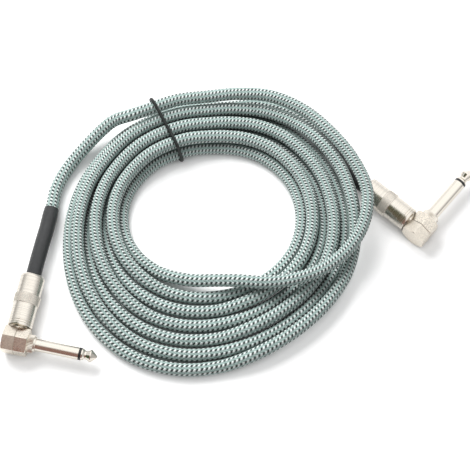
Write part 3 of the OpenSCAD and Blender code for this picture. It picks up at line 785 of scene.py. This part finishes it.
class CABLE_OT_cord(bpy.types.Operator):
    """The woven cord, from one plug to the other in one piece"""
    bl_idname = "cable.cord"
    bl_label = "Cord"
    around = 24
    spacing = 1.2 * MM      # between rings
    blend = 20 * MM         # over which a lead's stitches turn into the pile's
    strips = 12             # the OFBake map is cut into this many strips
    strip_gap = 1.04        # from each strip to the next, in widths of one
    spare = (0.998, 0.998)  # where the cut ends lie on that map

    def twist(self, s):
        """The braid rolls slowly round the cord as it was wound"""
        return s / 1.3 + 0.35 * math.sin(s / 0.21)

    def count_stitches(self, route, line, along, stitch):
        """Stitches from the left plug to each point of the line"""
        left, right = (lengths_along(lead)[-1] * MM for lead in route.leads)
        coil_to = along[-1] - right
        stitches = [0.0]
        for i in range(1, len(line)):
            piled = ease((along[i] - left) / self.blend) * ease((coil_to - along[i]) / self.blend)
            share = 1 + piled * (route.stitch_share(line[i]) - 1)
            stitches.append(stitches[-1] + (along[i] - along[i - 1]) / (stitch * share))
        return stitches

    def execute(self, context):
        sizes, colours, _ = settings()
        route = Route(sizes)
        line = smooth_line(route.points(), self.spacing)
        for point in line:      # it rests on the floor, and never sinks in
            point.z = max(point.z, sizes.cord_d / 2)
        along = lengths_along(line)
        total = along[-1]
        stitches = self.count_stitches(route, line, along, sizes.stitch)
        bm = bmesh.new()
        rings = tube_rings(bm, line, [sizes.cord_d / 2] * len(line), self.around)
        weave = bm.loops.layers.uv.new("weave")
        flat = bm.loops.layers.uv.new("OFBake")
        strip_len, strip_w = total / self.strips, math.pi * sizes.cord_d
        scale = 1 / max(strip_len * 1.01, strip_w * self.strip_gap * self.strips)
        for f, face in enumerate(skin(bm, rings)):
            strip = min(int(along[f // self.around] / strip_len + 1e-6), self.strips - 1)
            for loop, (ring, side) in zip(face.loops, corners_of(f, self.around)):
                turn, s = side / self.around, along[ring]
                loop[weave].uv = (stitches[ring], sizes.carriers * (turn + self.twist(s)))
                loop[flat].uv = ((s - strip * strip_len) * scale + 0.004,
                                 (strip * self.strip_gap + turn) * strip_w * scale + 0.002)
        for ring in (rings[0][::-1], rings[-1]):
            for loop in bm.faces.new(ring).loops:
                loop[flat].uv = self.spare
        cord = new_piece("woven_cord", bm, [woven_polyester_jacket(colours)])
        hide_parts("cable_coil", "left_lead", "right_lead")
        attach(cord, "cable")
        carried = [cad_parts[f"right_{n}"]
                   for n in ("collar", "shaft_sleeve", "tip", "tip_insulator")]
        carried += [bpy.data.objects[f"right_hexagonal_{n}"] for n in ("body", "cap")]
        return {"FINISHED"}


class CABLE_OT_sleeves(bpy.types.Operator):
    """The shrunk black sleeves between barrel and cord"""
    bl_idname = "cable.sleeves"
    bl_label = "Strain sleeves"
    around = 32

    def radius(self, sizes, s):
        """It grips tighter at its cut end, with a few faint ripples where it shrank"""
        r = sizes.cord_d / 2 + sizes.sleeve_wall - 0.17 * MM * (1 - ease(s / (5 * MM)))
        return r + 0.05 * MM * math.sin(s / (1.9 * MM)) * (1 - ease(s / (14 * MM)))

    def execute(self, context):
        sizes, colours, _ = settings()
        route = Route(sizes)
        material = moulded("heat_shrunk_polyolefin", colours.sleeve, roughness=0.5, ior=1.5,
                           grain_mm=1.4, depth=0.25)
        for side, name in enumerate(SIDES):
            line = smooth_line(route.sleeve(side), 0.5 * MM)
            radii = [self.radius(sizes, s) for s in lengths_along(line)]
            bm = bmesh.new()
            # The lip runs from the cut end down to just inside the jacket
            lip = [sizes.cord_d / 2 - 0.05 * MM] * self.around
            skin(bm, [ring_of(bm, line[0], *ring_axes(line, 0), lip)]
                 + tube_rings(bm, line, radii, self.around))
            sleeve = shade_by_angle(new_piece(f"{name}_shrunk_sleeve", bm, [material]), 50)
            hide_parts(f"{name}_strain_sleeve")
            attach(sleeve, "cable")
        return {"FINISHED"}


class CABLE_OT_tie(bpy.types.Operator):
    """The thin black cord round the pile"""
    bl_idname = "cable.tie"
    bl_label = "Tie"
    around, strands, rings_per_lay, groove = 20, 3, 6, 0.06 * MM

    def execute(self, context):
        sizes, colours, _ = settings()
        line = smooth_line(Route(sizes).tie(), 0.6 * MM, closed=True)
        bm = bmesh.new()
        rings = []
        for i, (side, up) in enumerate(even_axes(line)):
            lay = 2 * math.pi * i / self.rings_per_lay
            radii = [sizes.tie_d / 2 - self.groove * (1 - math.cos(
                self.strands * 2 * math.pi * k / self.around - lay)) / 2
                for k in range(self.around)]
            rings.append(ring_of(bm, line[i], side, up, radii))
        skin(bm, rings, closed=True)
        bmesh.ops.recalc_face_normals(bm, faces=bm.faces)
        material = moulded("waxed_polyester_cord", colours.tie, roughness=0.55, ior=1.5,
                           grain_mm=0.5, depth=0.4)
        tie = new_piece("pile_tie", bm, [material])
        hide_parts("cable_tie")
        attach(tie, "cable")
        return {"FINISHED"}


class CABLE_OT_barrels(bpy.types.Operator):
    """The turned barrels with their knurled bands"""
    bl_idname = "cable.barrels"
    bl_label = "Barrels"
    # Millimetres. The knurl's rows lie inside the band's two shoulders
    mouth_r, way_out_r, rounding = 5.4, 4.15, 1.9
    groove_at, groove = (1.5, 2.6), 0.12
    band_at, band_len, band_rise, shoulder = 11.7, 5.0, 0.35, 0.15
    rows, rows_per_diamond, knurl_depth = 28, 4, 0.2

    def diamond(self):
        """Length of one diamond of the knurl along the barrel"""
        return self.rows_per_diamond * (self.band_len - 2 * self.shoulder) / self.rows

    def outline(self, r, start, end):
        """(radius, distance along the axis, share of the knurl's depth)"""
        g, edge, band = self.groove, 0.05, start + self.band_at
        places = [(self.mouth_r, start + 0.6, 0), (self.mouth_r, start, 0),
                  (r - 0.45, start, 0), (r - 0.12, start + 0.1, 0), (r, start + 0.4, 0)]
        for at in self.groove_at:
            places += [(r, start + at - g, 0), (r - g, start + at, 0), (r, start + at + g, 0)]
        places += [(r, start + 5, 0), (r, band - edge, 0), (r + 0.2, band + edge, 0)]
        places += [(r + self.band_rise,
                    band + self.shoulder + self.diamond() / self.rows_per_diamond * k, 1)
                   for k in range(self.rows + 1)]
        places += [(r + 0.2, band + self.band_len - edge, 0),
                   (r, band + self.band_len + edge, 0), (r, end - 6, 0)]
        places += [(r - self.rounding * (1 - cosd(a)), end - 2 + 2 * sind(a), 0)
                   for a in range(0, 91, 10)]
        return places + [(self.way_out_r, end, 0), (self.way_out_r, end - 1.8, 0)]

    def cut(self, turn, row):
        """How deep the knurl is, from 0 at a diamond's middle to its depth in a groove"""
        off = max(abs((turn + row) % 1 - 0.5), abs((turn - row) % 1 - 0.5)) * 2
        return self.knurl_depth * off ** 1.5

    def execute(self, context):
        sizes, colours, _ = settings()
        route = Route(sizes)
        start, end = route.barrel_at, route.barrel_at + route.barrel_len
        band = start + self.band_at
        material = turned_nickel("turned_nickel_barrel", colours.nickel, 0.22)
        rough = knurled_nickel("knurled_nickel_band", colours.knurl, sizes.knurls, band,
                               self.diamond())
        outline = self.outline(route.barrel_d / 2, start, end)
        around = 4 * sizes.knurls
        across, along, up = (Vector(v) * MM for v in ((1, 0, 0), (0, 1, 0), (0, 0, 1)))
        for side, name in enumerate(SIDES):
            bm = bmesh.new()
            lathe = bm.loops.layers.uv.new("lathe")
            rings = []
            for r, at, share in outline:
                row = (at - band) / self.diamond()
                radii = [r - share * self.cut(k / 4, row) for k in range(around)]
                rings.append(ring_of(bm, along * at, across, up, radii))
            for f, face in enumerate(skin(bm, rings)):
                for loop, (ring, turn) in zip(face.loops, corners_of(f, around)):
                    loop[lathe].uv = (outline[ring][1], turn / around)
                i = f // around
                face.material_index = 1 if outline[i][2] and outline[i + 1][2] else 0
            bmesh.ops.recalc_face_normals(bm, faces=bm.faces)
            bmesh.ops.transform(bm, matrix=route.plug_place(side), verts=bm.verts)
            barrel = shade_by_angle(new_piece(f"{name}_turned_barrel", bm,
                                              [material, rough]), 32)
            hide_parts(f"{name}_barrel")
            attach(barrel, f"{name}_barrel_turn")
        return {"FINISHED"}


class CABLE_OT_heads(bpy.types.Operator):
    """The hexagonal heads: the body with its threaded neck, and the cap that shuts it"""
    bl_idname = "cable.heads"
    bl_label = "Heads"
    # Millimetres. The body's cup slides into the cap, and the chamber is inside the cup
    across, half, cup_r, cup_end, chamber_r, chamber_end = 12.5, 6.3, 5.2, -5.1, 4.2, 4.3
    stem_r, bore_r, neck_r, neck_end, thread_r, thread_end = 2.5, 3.5, 3.7, 7.3, 5.25, 14.0
    pitch, thread_len, thread_depth = 0.8, 5, 0.3
    # Half the seam's width, its edges' chamfer, the facets' rounded edges, and the bevel at
    # each end: how much it leans back, and the radius of the flat face that it leaves
    seam, chamfer, edge_r, lean, face_r = 0.05, 0.12, 0.22, 0.583, 6.617

    def corners(self):
        """(angle, radius) round a hexagon with slightly rounded edges, one edge on top"""
        middle_r = (self.across / 2 - self.edge_r) / cosd(30)

        def on_edge(a, b):
            return (middle_r * Vector((cosd(a), sind(a)))
                    + self.edge_r * Vector((cosd(a + b), sind(a + b))))

        places = []
        for a in range(0, 360, 60):
            rounded = [on_edge(a, b) for b in (-30, -15, 0, 15, 30)]
            far = on_edge(a + 60, -30)
            places += rounded + [rounded[-1].lerp(far, i / 8) for i in range(1, 8)]
        return [(math.atan2(p.y, p.x), p.length) for p in places]

    def shell(self, stations):
        """A closed skin over stations along the shaft's axis. Each is x and a circle's radius,
        or one of the hexagon's forms"""
        bm = bmesh.new()
        rings = []
        for x, form in stations:
            ring = []
            for a, reach in self.corners():
                out, back = {
                    "hexagon": (reach, 0), "chamfered": (reach - self.chamfer, 0),
                    "bevelled": (reach, self.lean * max(0.0, reach - self.face_r)),
                    "face": (min(reach, self.face_r), 0)}.get(form, (form, 0))
                ring.append(bm.verts.new(((x - math.copysign(back, x)) * MM,
                                          out * math.sin(a) * MM, out * math.cos(a) * MM)))
            rings.append(ring)
        skin(bm, rings, closed=True)
        bmesh.ops.remove_doubles(bm, verts=bm.verts, dist=0.002 * MM)
        return bm

    def body(self):
        x = self.seam
        return self.shell([
            (self.cup_end, self.chamber_r), (self.cup_end, self.cup_r), (x, self.cup_r),
            (x, "chamfered"), (x + self.chamfer, "hexagon"), (self.half, "bevelled"),
            (self.half, "face"), (self.half, self.stem_r), (self.chamber_end, self.stem_r),
            (self.chamber_end, self.chamber_r)])

    def cap(self):
        x, inner, end = -self.seam, self.cup_r + 0.05, self.cup_end - 0.1
        return self.shell([
            (x, inner), (x, "chamfered"), (x - self.chamfer, "hexagon"),
            (-self.half, "bevelled"), (-self.half, "face"), (-self.half, 0), (end, 0),
            (end, inner)])

    def neck(self, bm):
        """The neck and its thread, as a tube along the barrel's axis"""
        count, rows = 48, 60
        root_r = self.thread_r - self.thread_depth
        start = self.neck_end + 0.3
        end = start + self.thread_len
        # (radius, distance along the axis, whether the thread cuts in)
        outline = [(self.bore_r, self.chamber_r + 0.1, 0), (self.neck_r, self.chamber_r + 0.1, 0),
                   (self.neck_r, self.neck_end, 0), (root_r, self.neck_end, 0)]
        outline += [(self.thread_r, start + self.thread_len * k / rows, 1)
                    for k in range(rows + 1)]
        outline += [(root_r, end + 0.1, 0), (root_r, end + 0.6, 0),
                    (self.thread_r, end + 0.8, 0), (self.thread_r, self.thread_end, 0),
                    (self.bore_r, self.thread_end, 0)]
        across, along, up = (Vector(v) * MM for v in ((1, 0, 0), (0, 1, 0), (0, 0, 1)))
        rings = []
        for r, at, cut in outline:
            radii = [r - self.thread_depth * cut * abs((at / self.pitch - k / count) % 1 - 0.5) * 2
                     for k in range(count)]
            rings.append(ring_of(bm, along * at, across, up, radii))
        skin(bm, rings, closed=True)

    def drill(self, piece, r):
        """Cuts a round hole for the neck, from the middle of the head along the barrel"""
        bm = bmesh.new()
        reach = 9 * MM
        bmesh.ops.create_cone(bm, cap_ends=True, segments=64, radius1=r * MM, radius2=r * MM,
                              depth=reach)
        bmesh.ops.rotate(bm, matrix=Matrix.Rotation(math.pi / 2, 3, "X"), verts=bm.verts)
        bmesh.ops.translate(bm, vec=(0, reach / 2, 0), verts=bm.verts)
        bit = new_piece("bit", bm, [], smooth=False)
        cut = piece.modifiers.new("bore", "BOOLEAN")
        cut.operation, cut.solver, cut.object = "DIFFERENCE", "EXACT", bit
        solid = piece.data
        piece.data = bpy.data.meshes.new_from_object(
            piece.evaluated_get(bpy.context.evaluated_depsgraph_get()))
        piece.modifiers.clear()
        bpy.data.objects.remove(bit)
        bpy.data.meshes.remove(solid)

    def execute(self, context):
        sizes, colours, _ = settings()
        route = Route(sizes)
        # The body's plate is a little smoother than the cap's
        finishes = (
            plated_nickel("satin_nickel_head", colours.satin_nickel, roughness=0.26,
                          grain_mm=0.7, grain_depth=0.5, speckle=0.2),
            plated_nickel("satin_nickel_cap", colours.satin_nickel, roughness=0.36,
                          grain_mm=0.7, grain_depth=0.5, speckle=0.16))
        for side, name in enumerate(SIDES):
            for half, bm, hole, finish in (("body", self.body(), self.bore_r, finishes[0]),
                                           ("cap", self.cap(), self.neck_r + 0.15, finishes[1])):
                bmesh.ops.recalc_face_normals(bm, faces=bm.faces)
                piece = new_piece(f"{name}_hexagonal_{half}", bm, [finish], smooth=False)
                self.drill(piece, hole)
                whole = bmesh.new()
                whole.from_mesh(piece.data)
                if half == "body":
                    self.neck(whole)
                    bmesh.ops.recalc_face_normals(whole, faces=whole.faces)
                bmesh.ops.transform(whole, matrix=route.plug_place(side), verts=whole.verts)
                whole.to_mesh(piece.data)
                whole.free()
                shade_by_angle(piece, 25)
                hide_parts(f"{name}_head_{half}")
                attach(piece, "cable")
        return {"FINISHED"}


class CABLE_OT_plugs(bpy.types.Operator):
    """Finishes for the collars, shafts and everything inside them"""
    bl_idname = "cable.plugs"
    bl_label = "Plugs"

    def execute(self, context):
        _, colours, _ = settings()
        bright = plated_nickel("bright_nickel_shaft", colours.nickel, roughness=0.12,
                               grain_mm=0.3, grain_depth=0.08)
        ribbed = plated_nickel("ribbed_nickel_collar", colours.nickel, roughness=0.3,
                               grain_mm=0.3, grain_depth=0.2)
        ring = moulded("black_nylon", "#101010", roughness=0.35, ior=1.53, grain_mm=0.4,
                       depth=0.1)
        liner = moulded("milky_pvc", "#D8D8D0", roughness=0.45, ior=1.52, grain_mm=0.8,
                        depth=0.1)
        tin = plated_nickel("tinned_brass", "#CFCBC2", roughness=0.3, grain_mm=0.3,
                            grain_depth=0.3)
        core = moulded("polythene_core", "#E8E6DE", roughness=0.5, ior=1.5, grain_mm=0.8,
                       depth=0.1)
        copper = plated_nickel("bare_copper", "#C8845A", roughness=0.3, grain_mm=0.15,
                               grain_depth=0.6)
        finishes = {
            "collar": ribbed, "shaft_sleeve": bright,
            "tip": bright, "tip_insulator": ring, "core_insulator": liner, "tip_lug": tin,
            "ground_clamp": tin, "inner_conductor": core, "shield_tail": copper,
            "barrel_liner": liner}
        for side in SIDES:
            for node, material in finishes.items():
                dress(f"{side}_{node}", material)
        return {"FINISHED"}


class CABLE_PT_panel(bpy.types.Panel):
    bl_label = "Instrument Cable"
    bl_idname = "CABLE_PT_panel"
    bl_space_type = "VIEW_3D"
    bl_region_type = "UI"
    bl_category = "Cable"

    def draw(self, context):
        layout = self.layout
        for group in settings():
            box = layout.box()
            for prop in group.bl_rna.properties:
                if prop.identifier not in ("rna_type", "name"):
                    box.prop(group, prop.identifier)
        for operator in OPERATORS:
            layout.operator(operator.bl_idname)


GROUPS = (("cable_sizes", CableSizes), ("cable_colours", CableColours),
          ("cable_stage", StageSettings))
OPERATORS = (CABLE_OT_stage, CABLE_OT_heads, CABLE_OT_cord, CABLE_OT_sleeves, CABLE_OT_tie,
             CABLE_OT_barrels, CABLE_OT_plugs)


def register():
    for name, group in GROUPS:
        bpy.utils.register_class(group)
        setattr(bpy.types.Scene, name, bpy.props.PointerProperty(type=group))
    for operator in OPERATORS:
        bpy.utils.register_class(operator)
    bpy.utils.register_class(CABLE_PT_panel)


def unregister():
    bpy.utils.unregister_class(CABLE_PT_panel)
    for operator in reversed(OPERATORS):
        bpy.utils.unregister_class(operator)
    for name, group in reversed(GROUPS):
        delattr(bpy.types.Scene, name)
        bpy.utils.unregister_class(group)


def main():
    register()
    for step in (bpy.ops.cable.stage, bpy.ops.cable.heads, bpy.ops.cable.cord,
                 bpy.ops.cable.sleeves, bpy.ops.cable.tie, bpy.ops.cable.barrels,
                 bpy.ops.cable.plugs):
        step()


if __name__ == "__main__":
    main()
